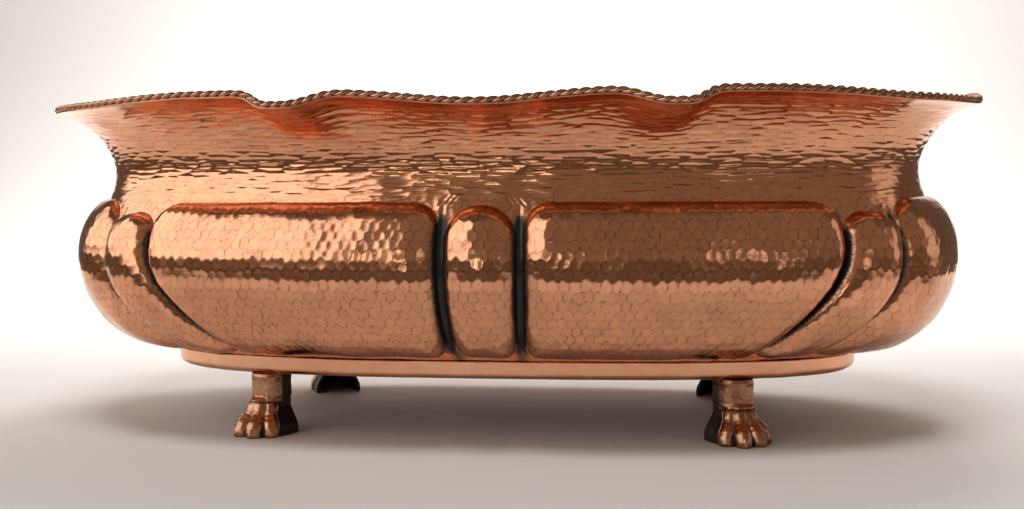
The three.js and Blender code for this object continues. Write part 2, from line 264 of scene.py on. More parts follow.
def blows(u, v, period, du, dv, mu, mv, jitter, spread, seed):
    """Overlapping hammer blows on a staggered grid, du by dv apart and shaped mu by mv. Returns
    the squared distance to the nearest blow, the margin to the next and a number per blow."""
    rng = np.random.default_rng(seed)
    nu = int(round(period / du))
    du = period / nu
    v0 = float(v.min()) - 3 * dv
    nv = int((float(v.max()) - v0) / dv) + 6
    ju = rng.uniform(-jitter, jitter, (nv, nu))
    jv = rng.uniform(-jitter, jitter, (nv, nu))
    jo = rng.uniform(0, spread, (nv, nu))
    rnd = rng.uniform(0, 1, (nv, nu))
    row = np.floor((v - v0) / dv).astype(int)
    best = np.full(u.shape, 1e9)
    second = np.full(u.shape, 1e9)
    pick = np.zeros(u.shape)
    for dr in (-1, 0, 1, 2):
        r = np.clip(row + dr, 0, nv - 1)
        shift = 0.5 * (r % 2)
        col = np.floor(u / du - shift).astype(int)
        for dc in (-1, 0, 1, 2):
            c = (col + dc) % nu
            cu = (col + dc + shift) * du + ju[r, c] * du
            cv = v0 + r * dv + jv[r, c] * dv
            d = ((u - cu) / mu) ** 2 + ((v - cv) / mv) ** 2 + jo[r, c]
            closer = d < best
            second = np.where(closer, best, np.minimum(second, d))
            pick = np.where(closer, rnd[r, c], pick)
            best = np.where(closer, d, best)
    return best, second - best, pick


# ---------------------------------------------------------------- mesh building
def make_mesh(name, verts, quads=None, tris=None, attributes=None, polys=()):
    """A smooth-shaded object from vertices in millimetres, with one number per vertex and attribute."""
    starts, loops = [], []
    n = 0
    for block, size in ((quads, 4), (tris, 3), *[([q], len(q)) for q in polys]):
        if block is not None and len(block):
            block = np.asarray(block, np.int32)
            loops.append(block.ravel())
            starts.append(n + np.arange(len(block), dtype=np.int32) * size)
            n += block.size
    mesh = bpy.data.meshes.new(name)
    mesh.vertices.add(len(verts))
    mesh.vertices.foreach_set("co", (np.asarray(verts) * MM).astype(np.float32).ravel())
    mesh.loops.add(n)
    mesh.loops.foreach_set("vertex_index", np.concatenate(loops))
    starts = np.concatenate(starts)
    mesh.polygons.add(len(starts))
    mesh.polygons.foreach_set("loop_start", starts)
    mesh.update(calc_edges=True)
    mesh.validate()
    mesh.polygons.foreach_set("use_smooth", np.ones(len(mesh.polygons), bool))
    for key, values in (attributes or {}).items():
        layer = mesh.attributes.new(key, "FLOAT", "POINT")
        layer.data.foreach_set("value", np.asarray(values, np.float32).ravel())
    ob = bpy.data.objects.new(name, mesh)
    bpy.context.scene.collection.objects.link(ob)
    return ob


def grid_quads(rows, cols, start=0, closed=True, flip=False):
    """Quads between successive rings of a grid; rings run counter-clockwise from above."""
    r = np.arange(rows - 1)[:, None]
    c = np.arange(cols if closed else cols - 1)[None, :]
    a = start + r * cols + c
    b = start + r * cols + (c + 1) % cols
    q = np.stack([a, b, b + cols, a + cols], -1).reshape(-1, 4)
    return q[:, ::-1] if flip else q


def grid_normals(p):
    """Outward unit normals of a grid of points (rings closed along axis 1)."""
    along = np.roll(p, -1, 1) - np.roll(p, 1, 1)
    up = np.gradient(p, axis=0)
    n = np.cross(along, up)
    return n / np.maximum(np.linalg.norm(n, axis=-1, keepdims=True), 1e-9)


def finish_piece(ob, material, nodes):
    """Give a piece its material, hang it under the root and hide the CAD nodes it stands for."""
    ob.data.materials.clear()
    ob.data.materials.append(material)
    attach(ob, "root")
    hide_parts(*nodes)


# ---------------------------------------------------------------- vessel
COLS_Q = 480  # columns of the outer wall in a quarter
RUN_ROWS = 300
FLOOR_RINGS = 44


def spread(values, density, count):
    """Pick count of the values, closer together where the density is high."""
    total = np.concatenate([[0], np.cumsum((density[1:] + density[:-1]) / 2)])
    return np.interp(np.linspace(0, total[-1], count), total, values)


def arc_columns():
    """Arcs of the wall's columns, closer together beside the grooves, alike in every quarter."""
    s = np.linspace(0, QUARTER, 4000)
    near = np.minimum.reduce([np.abs(s - CENTRE_GROOVE), np.abs(s - 200), np.abs(s - 240)])
    quarter = spread(s, 0.8 + 0.7 * bell(near, 14), COLS_Q + 1)[:-1]
    half = np.concatenate([quarter, [QUARTER], 2 * QUARTER - quarter[:0:-1]])
    return np.concatenate([half, 2 * QUARTER + half])


def run_rows():
    """Runs up the wall of its rows, closer together from the crease upwards."""
    run = np.linspace(0, WALL_LEN, 4000)
    z = np.interp(run, RUN_T, Z_T)
    return spread(run, 0.75 + 0.85 * smooth(146, 156, z) + 0.3 * bell(z - 150, 5), RUN_ROWS)


def hammer_marks(u, v, z, lobes, neck):
    """Round planished facets on the bowl, and long flat strokes running round the neck. Returns
    both heights, and for every point its mark's number and how near the mark's outline it is."""
    period = 4 * QUARTER
    bowl, bowl_edge, bowl_pick = blows(u, v, period, 6.0, 5.2, 5.6, 5.6, 0.2, 0.10, 11)
    warp_v = v + 0.5 * soft_noise(u, v, period, 70, 5, 2)
    chase, neck_edge, neck_pick = blows(u, warp_v, period, 15.0, 3.0, 15.0, 3.1, 0.36, 0.30, 23)
    facets = lobes * (1 - neck) * np.minimum(bowl, 0.6) * 0.58
    strokes = neck * (1 - smooth(206, 211, z)) * np.minimum(chase, 0.7) * 0.80
    in_neck = neck > 0.5
    cell = np.where(in_neck, neck_pick, bowl_pick)
    edge = np.where(in_neck, 0.6 * (1 - smooth(0.0, 0.1, neck_edge)), 1 - smooth(0.02, 0.13, bowl_edge))
    return facets, strokes, cell, edge


def pressed_lines(s, z, gap):
    """Depth of the line pressed into each groove, and of the short strokes that carry it on up."""
    press = 0.6 * bell(gap, 1.2) * (1 - smooth(144, 152, z)) * smooth(53, 56, z)
    chased = np.zeros_like(z)
    for off, top in ((-3.5, 157), (0.0, 159), (3.5, 158)):
        line = s - CENTRE_GROOVE - off + 0.9 * (z - 150)
        chased += 0.3 * bell(line, 1.0) * smooth(149, 153, z) * (1 - smooth(top - 5, top, z))
    return press, chased


def groove_tints(s, z, gap, depth, neck):
    """Black tarnish in the grooves, and painted shade beside them: the lobe sides darkened to umber towards
    each groove.
    """
    middle = smooth(60, 40, s)
    width = (3.0 + 0.6 * middle) * (1 - 0.6 * smooth(128, 150, z))
    groove = bell(np.maximum(gap - 0.4 - 0.8 * middle, 0), width)
    groove = groove * (1 - smooth(139, 151, z)) * smooth(54, 58, z)
    groove = np.maximum(groove, 0.30 * bell(depth - 0.2, 1.6) * (1 - neck))
    # painted shade: the lobe sides beside each groove darkened towards it
    brown = smooth(1, 0, (gap - 1.2) / (2.4 + 4.4 * middle)) * (1 - smooth(136, 150, z))
    return groove, brown


def add_tints(tints, shape, **values):
    """Append a block of vertices to every attribute: 0 in those that aren't named."""
    for key, store in tints.items():
        store.append(np.broadcast_to(np.asarray(values.get(key, 0), float), shape).ravel())


def vessel():
    """The body: outer wall, inner skin, rim edge, dented floor and underside in one mesh."""
    u, v = np.meshgrid(arc_columns(), run_rows())
    s, z = fold(u), np.interp(v, RUN_T, Z_T)
    _, depth = lobe_raise(s, v, z)
    lobes, neck = smooth(0.5, 5, depth), smooth(150, 160, z)
    gap = groove_gap(s, z)
    period = 4 * QUARTER
    facets, strokes, cell, edge = hammer_marks(u, v, z, lobes, neck)
    ledge = (1 - lobes) * (1 - neck) * soft_noise(u, v, period, 9, 31, 2) * 0.03
    sway = soft_noise(u, v, period, 60, 3, 2) * 0.22 * smooth(56, 66, z) * (1 - 0.5 * smooth(200, 210, z))
    press, chased = pressed_lines(s, z, gap)
    lift = facets + strokes + ledge + sway - press - chased
    groove, brown = groove_tints(s, z, gap, depth, neck)

    plain = wall_points(u, v)
    normal = grid_normals(plain)
    outer = plain + normal * lift[..., None]
    outer[-1] = plain[-1]
    rows, cols = outer.shape[:2]
    base = rows * cols
    verts = [outer.reshape(-1, 3)]
    quads, tris = [grid_quads(rows, cols)], []
    tints = {"groove": [groove.ravel()], "brown": [brown.ravel()], "cell": [cell.ravel()]}
    tints |= {"edge": [edge.ravel()], "neck": [neck.ravel()], "inside": [np.zeros(base)]}

    # inner skin, from the foot up to the rim, with half as many columns
    inner = plain + normal * (sway * 0.9 + 0.25 * facets + 0.2 * strokes)[..., None] - normal * SHEET
    lowest = int(np.searchsorted(inner[:, 0, 2], FLOOR_Z + SHEET + 1.2))
    skin = (slice(lowest, None), slice(0, None, 2))
    inner = inner[skin]
    irows, icols = inner.shape[:2]
    verts.append(inner.reshape(-1, 3))
    quads.append(grid_quads(irows, icols, base, flip=True))
    add_tints(tints, (irows, icols), groove=0.35 * groove[skin], cell=cell[skin], neck=neck[skin], inside=1)

    # rim edge: two outer columns to one inner column
    top_o = (rows - 1) * cols
    top_i = base + (irows - 1) * icols
    i = np.arange(icols)
    a, m, b = top_o + 2 * i, top_o + 2 * i + 1, top_o + (2 * i + 2) % cols
    p, q = top_i + i, top_i + (i + 1) % icols
    tris += [np.stack([a, m, p], -1), np.stack([m, b, q], -1), np.stack([m, q, p], -1)]

    # floor inside: rings shrinking to the middle, gently domed and dented
    n = base + irows * icols
    ring = inner[0]
    centre = np.array([0, 0, FLOOR_Z + SHEET])
    factors = 1 - np.linspace(0, 1, FLOOR_RINGS + 2)[1:-1] ** 0.9
    for f in factors:
        level = smooth(0, 0.06, 1 - f)
        p_ring = centre + (ring - centre) * [f, f, 1]
        p_ring[:, 2] = ring[:, 2] * (1 - level) + (FLOOR_Z + SHEET) * level
        p_ring[:, 2] += level * 0.25 * np.sin(p_ring[:, 0] / 13.7) * np.cos(p_ring[:, 1] / 11.3)
        verts.append(p_ring)
    verts.append(centre[None])
    first, nxt = base + i, n + i
    quads.append(np.stack([first, np.roll(first, -1), np.roll(nxt, -1), nxt], -1))
    quads.append(grid_quads(FLOOR_RINGS, icols, n))
    last, tip = n + (FLOOR_RINGS - 1) * icols, n + FLOOR_RINGS * icols
    tris.append(np.stack([last + i, last + np.roll(i, -1), np.full(icols, tip)], -1))
    add_tints(tints, FLOOR_RINGS * icols + 1, groove=0.1, cell=0.5, inside=1)

    # underside of the floor, with a quarter of the wall's columns
    n = tip + 1
    ring = outer[0]
    centre = np.array([0, 0, FLOOR_Z])
    for f in factors:
        p_ring = centre + (ring - centre) * [f, f, 1]
        p_ring[:, 2] = FLOOR_Z + (ring[:, 2] - FLOOR_Z) * f
        verts.append(p_ring[::4])
    verts.append(centre[None])
    ucols = cols // 4
    k = np.arange(ucols)
    u0, u1 = n + k, n + (k + 1) % ucols
    for j in range(4):
        tris.append(np.stack([4 * k + j, u0, (4 * k + j + 1) % cols], -1))
    tris.append(np.stack([(4 * k + 4) % cols, u0, u1], -1))
    quads.append(grid_quads(FLOOR_RINGS, ucols, n, flip=True))
    last, tip = n + (FLOOR_RINGS - 1) * ucols, n + FLOOR_RINGS * ucols
    tris.append(np.stack([last + (k + 1) % ucols, last + k, np.full(ucols, tip)], -1))
    add_tints(tints, FLOOR_RINGS * ucols + 1, groove=0.6, cell=0.5)

    attributes = {key: np.concatenate(store) for key, store in tints.items()}
    return make_mesh("vessel", np.concatenate(verts), np.concatenate(quads), np.concatenate(tris), attributes)


# ---------------------------------------------------------------- border wire
TWIST = 13.6  # length of one full turn of the twist
STRAND_R = 1.45
STRAND_OFF = 0.98  # each strand's middle from the middle of the wire
STRAND_SIDES = 10


def unit(v):
    return v / np.linalg.norm(v, axis=1, keepdims=True)


def rope_path():
    """Centre line of the border wire on the flared edge, and the run along it."""
    u = np.linspace(0, 4 * QUARTER, 6000, endpoint=False)
    uu, vv = np.meshgrid(u, np.array([0.97, 0.985, 1.0]) * WALL_LEN)
    p = wall_points(uu, vv)
    normal = grid_normals(p)[-1]
    c = p[2] - 1.4 * unit(p[2] - p[0]) - normal * (SHEET + ROPE_R - 0.8)
    closed = np.vstack([c, c[:1]])
    run = np.concatenate([[0], np.cumsum(np.linalg.norm(np.diff(closed, axis=0), axis=1))])
    return closed, run


def rope():
    """Two strands twisted round each other."""
    closed, run = rope_path()
    length = run[-1]
    turns = int(round(length / TWIST))
    count = turns * 20
    at = np.linspace(0, length, count, endpoint=False)
    c = np.stack([np.interp(at, run, closed[:, k]) for k in range(3)], -1)
    along = unit(np.roll(c, -1, 0) - np.roll(c, 1, 0))
    side = unit(np.stack([along[:, 1], -along[:, 0], np.zeros(count)], -1))
    up = np.cross(side, along)
    rng = np.random.default_rng(5)
    loose = 1 + 0.05 * soft_noise(at, 0.0, length, 90, 8, 2)
    phase = 2 * math.pi * turns * at / length + 0.5 * soft_noise(at, 0.0, length, 140, 9, 2)
    ang = (np.arange(STRAND_SIDES) / STRAND_SIDES * 2 * math.pi)[None, :, None]
    pieces = []
    for strand in range(2):
        a = phase + strand * math.pi
        mid = c + STRAND_OFF * loose[:, None] * (side * np.cos(a)[:, None] + up * np.sin(a)[:, None])
        d = unit(np.roll(mid, -1, 0) - np.roll(mid, 1, 0))
        e1 = unit(np.cross(d, up))
        e2 = np.cross(e1, d)
        radius = STRAND_R + 0.02 * rng.standard_normal((count, 1))
        ring = mid[:, None] + radius[..., None] * (e1[:, None] * np.cos(ang) + e2[:, None] * np.sin(ang))
        n0 = np.arange(count)[:, None] * STRAND_SIDES
        n1 = np.roll(n0, -1)
        k = np.arange(STRAND_SIDES)[None, :]
        nxt = (k + 1) % STRAND_SIDES
        q = np.stack([n0 + k, n0 + nxt, n1 + nxt, n1 + k], -1).reshape(-1, 4)
        hollow = (np.linalg.norm(ring - c[:, None], axis=-1) < STRAND_R).astype(float)
        name = f"border_strand_{strand + 1}"
        pieces.append(make_mesh(name, ring.reshape(-1, 3), q, None, {"groove": hollow}))
    return pieces


# ---------------------------------------------------------------- plinth band
BAND_LIP = 0.4  # rounding of the band's upper edge
BAND_TAPER = 0.09  # how much the band draws in per millimetre downwards


def plinth():
    """The band: rolled lower corner, tapering face, small upper edge and the sheet's inner side."""
    arcs = np.linspace(0, 4 * QUARTER, 1400, endpoint=False)
    period = 4 * QUARTER
    low, high = PLINTH_Z0 + PLINTH_ROUND, PLINTH_Z1 - BAND_LIP
    outline = []
    for a in np.linspace(0, math.pi / 2, 9):
        outline.append([PLINTH_HALF - PLINTH_ROUND * (1 - math.sin(a)), low - PLINTH_ROUND * math.cos(a)])
    for k in np.linspace(0, 1, 8)[1:-1]:
        outline.append([PLINTH_HALF, low + k * (high - low)])
    for a in np.linspace(0, math.pi / 2, 4):
        outline.append([PLINTH_HALF - BAND_LIP * (1 - math.cos(a)), high + BAND_LIP * math.sin(a)])
    outline.append([PLINTH_HALF - PLINTH_SHEET, PLINTH_Z1])
    outline.append([PLINTH_HALF - PLINTH_SHEET, PLINTH_Z1 - 3.5])
    r = PLINTH_ROUND - PLINTH_SHEET
    for a in np.linspace(math.pi / 2, 0, 6):
        outline.append([PLINTH_HALF - PLINTH_ROUND + r * math.sin(a), low - r * math.cos(a)])
    rings = []
    for half, z in outline:
        x, y = oval(np.full_like(arcs, half - BAND_TAPER * (PLINTH_Z1 - z)), arcs)
        sway = 0.16 * soft_noise(arcs, z, period, 60, 41, 3)
        drop = 0.12 * soft_noise(arcs, 0.0, period, 90, 42, 2)
        rings.append(np.stack([x, y, z + drop], -1) + sway[:, None] * radial(x, y))
    p = np.array(rings)
    rows, cols = p.shape[:2]
    first = np.arange(cols)
    last = (rows - 1) * cols + first
    close = np.stack([last, np.roll(last, -1), np.roll(first, -1), first], -1)
    return make_mesh("plinth_ring", p.reshape(-1, 3), np.vstack([grid_quads(rows, cols), close]))


def radial(x, y):
    """Outward direction in plan, at the band."""
    long, short = PLINTH_HALF, PLINTH_HALF - OVAL_GAP
    gx = np.sign(x) * np.abs(x / long) ** (OVAL_POWER - 1) / long
    gy = np.sign(y) * np.abs(y / short) ** (OVAL_POWER - 1) / short
    g = np.stack([gx, gy, x * 0], -1)
    return g / np.maximum(np.linalg.norm(g, axis=-1, keepdims=True), 1e-9)


# ---------------------------------------------------------------- lion paws
FEET = {"front_left": (-1, -1), "front_right": (1, -1), "rear_left": (-1, 1), "rear_right": (1, 1)}
TOES = [(-46, 0.86), (-14.5, 1.0), (14.5, 1.0), (46, 0.86)]  # heading in degrees, scale of the reach
# along each toe: distance from the paw's middle, height, radius
TOE_CHAIN = [
    (6.8, 22.0, 4.4),
    (8.8, 19.6, 5.0),
    (10.6, 17.2, 5.5),
    (11.8, 14.6, 5.1),
    (13.8, 11.8, 5.1),
    (16.4, 9.0, 5.5),
    (18.9, 6.4, 5.9),
    (20.4, 3.8, 5.5),
    (20.9, 1.6, 5.1),
]
# along each claw
CLAW_CHAIN = [(24.6, 4.9, 1.7), (25.4, 3.5, 1.5), (26.1, 2.2, 1.15), (26.5, 1.1, 0.8)]


SIDE_COLS = 12  # columns along each straight side of a paw
NO_REACH = -50.0


def soft_max(a, b, k):
    """The larger of two values, blended within k of where they meet."""
    h = np.maximum(k - np.abs(a - b), 0) / k
    return np.maximum(a, b) + h * h * k / 4


def chain_reach(phi, z, heading, scale, chain, blend):
    """How far a row of balls reaches from the axis in direction phi at height z."""
    out = np.full(np.broadcast(phi, z).shape, NO_REACH)
    off = phi - math.radians(heading)
    for far, high, radius in chain:
        far = far * scale
        left = radius**2 - (z - high) ** 2 - (far * np.sin(off)) ** 2
        reach = far * np.cos(off) + np.sqrt(np.maximum(left, 0))
        out = soft_max(out, np.where((left > 0) & (np.cos(off) > 0), reach, NO_REACH), blend)
    return out


def paw_core(z):
    """Half width and reach of the paw without its toes."""
    low = 1 - smooth(3, 26, z)
    ball = bell(z - 5, 6)
    wide = 10.4 + 8.2 * low + 0.8 * ball
    reach = 9.8 + 15.5 * low**1.15 + 1.4 * ball
    return wide, reach


def paw_relief(r, phi, z, seed):
    """Toes, claws, the fur's lower edge, the ring under the plinth and slight unevenness."""
    for heading, scale in TOES:
        r = soft_max(r, chain_reach(phi, z, heading, scale, TOE_CHAIN, 1.6), 0.7)
    for heading, scale in TOES:
        r = soft_max(r, chain_reach(phi, z, heading, scale, CLAW_CHAIN, 0.5), 0.25)
    lip = 22.2 + 2.2 * (1 - np.cos(phi)) + 0.5 * np.sin(phi * 3 + seed)
    cuff = smooth(lip - 1.3, lip + 0.9, z) * (1.25 - 0.5 * smooth(lip, 36, z))
    ring = 0.5 * bell(z - 37.6, 1.6)
    r = r + cuff + ring
    r = r + 0.045 * soft_noise(phi * 18, z, 400, 6, seed, 2) * smooth(0, 3, z)
    return r + 0.22 * np.cos(phi * 7) * smooth(26, 33, z) * (1 - smooth(35, 38, z))


def paw_sheet(zs, inset, seed=None):
    """One skin of a paw, open at the back: points as ahead, side, height, and how far each stands
    out of the plain core. Only a skin with a seed has toes."""
    phis = np.radians(np.linspace(-90, 90, 171))
    wide, reach = paw_core(zs)
    z, phi = zs[:, None], phis[None, :]
    shrink = 1 - smooth(17, 23, zs)
    a_axis = (reach - 5.0 * shrink - inset)[:, None]
    b_axis = (wide - 2.0 * shrink - inset)[:, None]
    n = 2.3
    core = (np.abs(np.cos(phi) / a_axis) ** n + np.abs(np.sin(phi) / b_axis) ** n) ** (-1 / n)
    r = core if seed is None else paw_relief(core, phi, z, seed)
    ahead, side = r * np.cos(phi), r * np.sin(phi)
    back = np.ones((len(zs), 1)) * FOOT_BACK * np.linspace(0, 1, SIDE_COLS + 1)[1:]
    plain = np.zeros((len(zs), SIDE_COLS))
    ahead = np.hstack([back[:, ::-1], ahead, back])
    side = np.hstack([side[:, :1].repeat(SIDE_COLS, 1), side, side[:, -1:].repeat(SIDE_COLS, 1)])
    over = np.hstack([plain, r - core, plain])
    return np.stack([ahead, side, np.repeat(zs[:, None], ahead.shape[1], 1)], -1), over


def paw_faces(rows, irows, cols):
    """Quads and larger faces of a paw: both skins, their lower and rear edges, and the closed top."""
    base = rows * cols
    quads = [grid_quads(rows, cols, 0, False), grid_quads(irows, cols, base, False, True)]
    c = np.arange(cols - 1)
    quads.append(np.stack([base + c, base + c + 1, c + 1, c], -1))
    r = np.arange(irows - 1)
    o0, i0 = r * cols, base + r * cols
    quads.append(np.stack([i0, o0, o0 + cols, i0 + cols], -1))
    o1, i1 = o0 + cols - 1, i0 + cols - 1
    quads.append(np.stack([o1, i1, i1 + cols, o1 + cols], -1))
    left = [k * cols for k in range(irows - 1, rows)]
    right = [k * cols + cols - 1 for k in range(irows - 1, rows)]
    ceiling = [base + (irows - 1) * cols + k for k in range(cols)]
    top = [(rows - 1) * cols + k for k in range(cols)]
    return np.vstack(quads), [top, ceiling[::-1], left[::-1] + [ceiling[0], ceiling[-1]] + right]


def paw(name, sx, sy):
    """A hollow cast paw, open at the back and below, turned outwards."""
    z_low = np.linspace(0, FOOT_H - LUG_T, 120)
    z_all = np.concatenate([z_low, np.linspace(FOOT_H - LUG_T, FOOT_H, 9)[1:]])
    outer, over = paw_sheet(z_all, 0.0, 70 + 2 * sx + sy)
    inner, _ = paw_sheet(z_low, FOOT_WALL)
    verts = np.vstack([outer.reshape(-1, 3), inner.reshape(-1, 3)])
    quads, polys = paw_faces(len(outer), len(inner), outer.shape[1])
    front, high = outer[..., 0], outer[..., 2]
    # painted shade on the paw: darkened in the furrows between the toes, under the cuff's lip, along its
    # bottom edge, towards its rear and over the whole inner skin
    furrow = (1 - smooth(0.3, 2.6, over)) * (1 - smooth(19, 24, high)) * 0.92
    furrow = np.maximum(furrow, 0.75 * bell(high - 21.6, 0.9) * smooth(-2, 4, front))
    rear = smooth(4.0, -3.5, front)
    dark = np.maximum(np.maximum(furrow, rear), 0.8 * smooth(1.2, 0.2, high))
    groove = np.concatenate([dark.ravel(), np.ones(inner.shape[0] * inner.shape[1])])
    dx, dy = sx * math.sin(FOOT_TURN), sy * math.cos(FOOT_TURN)
    x = sx * FOOT_X + verts[:, 0] * dx - verts[:, 1] * dy
    y = sy * FOOT_Y + verts[:, 0] * dy + verts[:, 1] * dx
    ob = make_mesh(name, np.stack([x, y, verts[:, 2]], -1), quads, None, {"groove": groove}, polys)
    ob.data.set_sharp_from_angle(angle=math.radians(55))
    return ob


def rivet(name, x, y):
    """A rivet with a domed head below the paw's top and another on the base plate."""
    under = FOOT_H - LUG_T - GAP
    over = PLINTH_Z0 + PLATE_T + GAP
    turns = np.linspace(0, math.pi / 2, 9)
    profile = [(RIVET_HEAD * math.sin(a), under - RIVET_DOME * math.cos(a)) for a in turns[1:]]
    profile += [(RIVET_HEAD, under), (RIVET_R, under), (RIVET_R, over), (RIVET_HEAD, over)]
    profile += [(RIVET_HEAD * math.cos(a), over + RIVET_DOME * math.sin(a)) for a in turns[:-1]]
    profile = np.array(profile)
    sides = 28
    ang = np.arange(sides) / sides * 2 * math.pi
    dent = 1 + 0.02 * np.sin(3 * ang + x)
    px = x + profile[:, :1] * (np.cos(ang) * dent)[None]
    py = y + profile[:, :1] * (np.sin(ang) * dent)[None]
    pz = np.repeat(profile[:, 1:], sides, 1)
    rows = len(profile)
    polys = [list(range(sides))[::-1], [(rows - 1) * sides + k for k in range(sides)]]
    verts = np.stack([px, py, pz], -1).reshape(-1, 3)
    ob = make_mesh(name, verts, grid_quads(rows, sides), None, None, polys)
    ob.data.set_sharp_from_angle(angle=math.radians(50))
    return ob


# ---------------------------------------------------------------- materials
class Tree:
    """Small helper that adds and links shader nodes."""

    def __init__(self, tree):
        self.tree = tree
        tree.nodes.clear()

    def node(self, kind, inputs=None, **props):
        n = self.tree.nodes.new(kind)
        for k, v in props.items():
            setattr(n, k, v)
        for k, v in (inputs or {}).items():
            if isinstance(v, bpy.types.NodeSocket):
                self.tree.links.new(v, n.inputs[k])
            else:
                n.inputs[k].default_value = v
        return n

    def attribute(self, name):
        return self.node("ShaderNodeAttribute", attribute_name=name).outputs["Fac"]

    def math(self, op, a, b=0.0):
        return self.node("ShaderNodeMath", {0: a, 1: b}, operation=op).outputs[0]

    def fit(self, v, a, b, c, d):
        """Smooth step of v from a..b to c..d."""
        inputs = {0: v, 1: a, 2: b, 3: c, 4: d}
        return self.node("ShaderNodeMapRange", inputs, interpolation_type="SMOOTHSTEP").outputs[0]

    def mix(self, fac, a, b):
        return self.node("ShaderNodeMix", {0: fac, 6: a, 7: b}, data_type="RGBA").outputs[2]

    def noise(self, vector, scale, detail=3.0, rough=0.5, distortion=0.0):
        return self.node(
            "ShaderNodeTexNoise",
            {"Vector": vector, "Scale": scale, "Detail": detail, "Roughness": rough, "Distortion": distortion},
        ).outputs[0]


def rgb(r, g, b):
    return (r, g, b, 1.0)


def metal(name, bright, deep, patina_and_shade, rough=0.22, wear=0.5, fine=1.0, attrs=(), dark_gain=1.0):
    """Polished and aged copper: the colour drifts between two tones and hollows hold dark tarnish; on the paws
    the same dark colour is painted shade.
    attrs are the mesh attributes it reads: the number and outline of each hammer mark, grooves,
    the painted shade beside them, and the inside of the bowl."""
    m = bpy.data.materials.new(name)
    m.use_nodes = True
    t = Tree(m.node_tree)
    pos = t.node("ShaderNodeTexCoord").outputs["Object"]
    broad = t.noise(pos, 14.0, 4.0, 0.55, 0.4)
    mottle = t.noise(pos, 95.0, 4.0, 0.6, 0.6)
    speck = t.noise(pos, 620.0, 3.0, 0.6)
    grain = t.noise(pos, 2600.0, 2.0, 0.5)
    tone = t.math("ADD", t.math("MULTIPLY", broad, 0.6), t.math("MULTIPLY", mottle, 0.4))
    colour = t.mix(t.fit(tone, 0.36, 0.64, 0.0, 1.0), rgb(*bright), rgb(*deep))
    roughness = t.math("ADD", t.math("MULTIPLY", mottle, 0.10), rough - 0.05)
    if "cell" in attrs:
        cell = t.attribute("cell")
        roughness = t.math("ADD", roughness, t.math("MULTIPLY", t.math("SUBTRACT", cell, 0.5), 0.05))
        colour = t.mix(t.math("MULTIPLY", cell, 0.4), colour, rgb(*[c * 0.74 for c in deep]))
    if "edge" in attrs:
        edge = t.math("MULTIPLY", t.attribute("edge"), t.fit(mottle, 0.35, 0.65, 0.4, 0.85))
        colour = t.mix(edge, colour, rgb(*[0.32 * c for c in deep]))
        pits = t.fit(t.noise(pos, 900.0, 2.0, 0.5), 0.63, 0.70, 0.0, 1.0)
        pits = t.math("MULTIPLY", pits, t.fit(t.noise(pos, 19.0, 2.0, 0.5, 0.6), 0.54, 0.65, 0.0, 0.8))
        pits = t.math("MULTIPLY", pits, t.math("SUBTRACT", 1.0, t.attribute("neck")))
        colour = t.mix(pits, colour, rgb(*PIT_AND_SHADE_BROWN))
    # painted shade on the lobe sides beside the grooves, in dark umber
    if "brown" in attrs:
        colour = t.mix(t.math("MULTIPLY", t.attribute("brown"), 0.86), colour, rgb(*PIT_AND_SHADE_BROWN))
    stain = t.math("MULTIPLY", t.fit(t.noise(pos, 48.0, 5.0, 0.65, 0.8), 0.52, 0.72, 0.0, 1.0), 0.25 * wear)
    colour = t.mix(stain, colour, rgb(*[0.5 * (a + b) for a, b in zip(deep, patina_and_shade)]))
    roughness = t.math("ADD", roughness, t.math("MULTIPLY", stain, 0.5))
    # dark tarnish in the body's grooves; on the paws this same mix paints shade
    if "groove" in attrs:
        groove = t.attribute("groove")
        ragged = t.math("MULTIPLY", groove, t.fit(speck, 0.3, 0.7, 0.75, 1.25))
        dark = t.math("MULTIPLY", t.fit(ragged, 0.22, 0.78, 0.0, 1.0), dark_gain)
        colour = t.mix(dark, colour, rgb(*patina_and_shade))
        roughness = t.math("ADD", roughness, t.math("MULTIPLY", dark, 0.16))
    if "inside" in attrs:
        inside = t.attribute("inside")
        colour = t.mix(t.math("MULTIPLY", inside, 0.55), colour, rgb(*[0.6 * c for c in deep]))
        roughness = t.math("ADD", roughness, t.math("MULTIPLY", inside, 0.14))
    scratch_map = t.node("ShaderNodeMapping", {"Vector": pos, "Scale": (60.0, 60.0, 900.0)}).outputs[0]
    scratch = t.noise(scratch_map, 1.0, 2.0, 0.5)
    height = t.math("ADD", t.math("MULTIPLY", speck, 0.5), t.math("MULTIPLY", grain, 0.25))
    height = t.math("ADD", height, t.math("MULTIPLY", scratch, 0.3))
    bump = t.node("ShaderNodeBump", {"Strength": 0.16 * fine, "Distance": 0.0004, "Height": height}).outputs[0]
    metallic = t.math("SUBTRACT", 1.0, t.math("MULTIPLY", dark, 0.65)) if "groove" in attrs else 1.0
    bsdf = t.node(
        "ShaderNodeBsdfPrincipled",
        {"Base Color": colour, "Metallic": metallic, "Roughness": roughness, "Normal": bump},
    )
    out = t.node("ShaderNodeOutputMaterial")
    t.tree.links.new(bsdf.outputs[0], out.inputs[0])
    return m


COPPER = (0.89, 0.425, 0.238)
COPPER_DEEP = (0.80, 0.37, 0.21)
# dark umber: pits in the copper, and painted shade beside the grooves
PIT_AND_SHADE_BROWN = (0.16, 0.075, 0.045)
PATINA = (0.020, 0.019, 0.020)

BODY_TINTS = ("groove", "brown", "cell", "edge", "inside")
ROPE_TONES = ((0.68, 0.36, 0.23), (0.46, 0.22, 0.13), (0.05, 0.022, 0.015))
PLINTH_TONES = ((0.96, 0.53, 0.33), (0.90, 0.44, 0.26), PATINA)
PLATE_TONES = ((0.50, 0.20, 0.10), (0.36, 0.14, 0.07), (0.06, 0.03, 0.02))
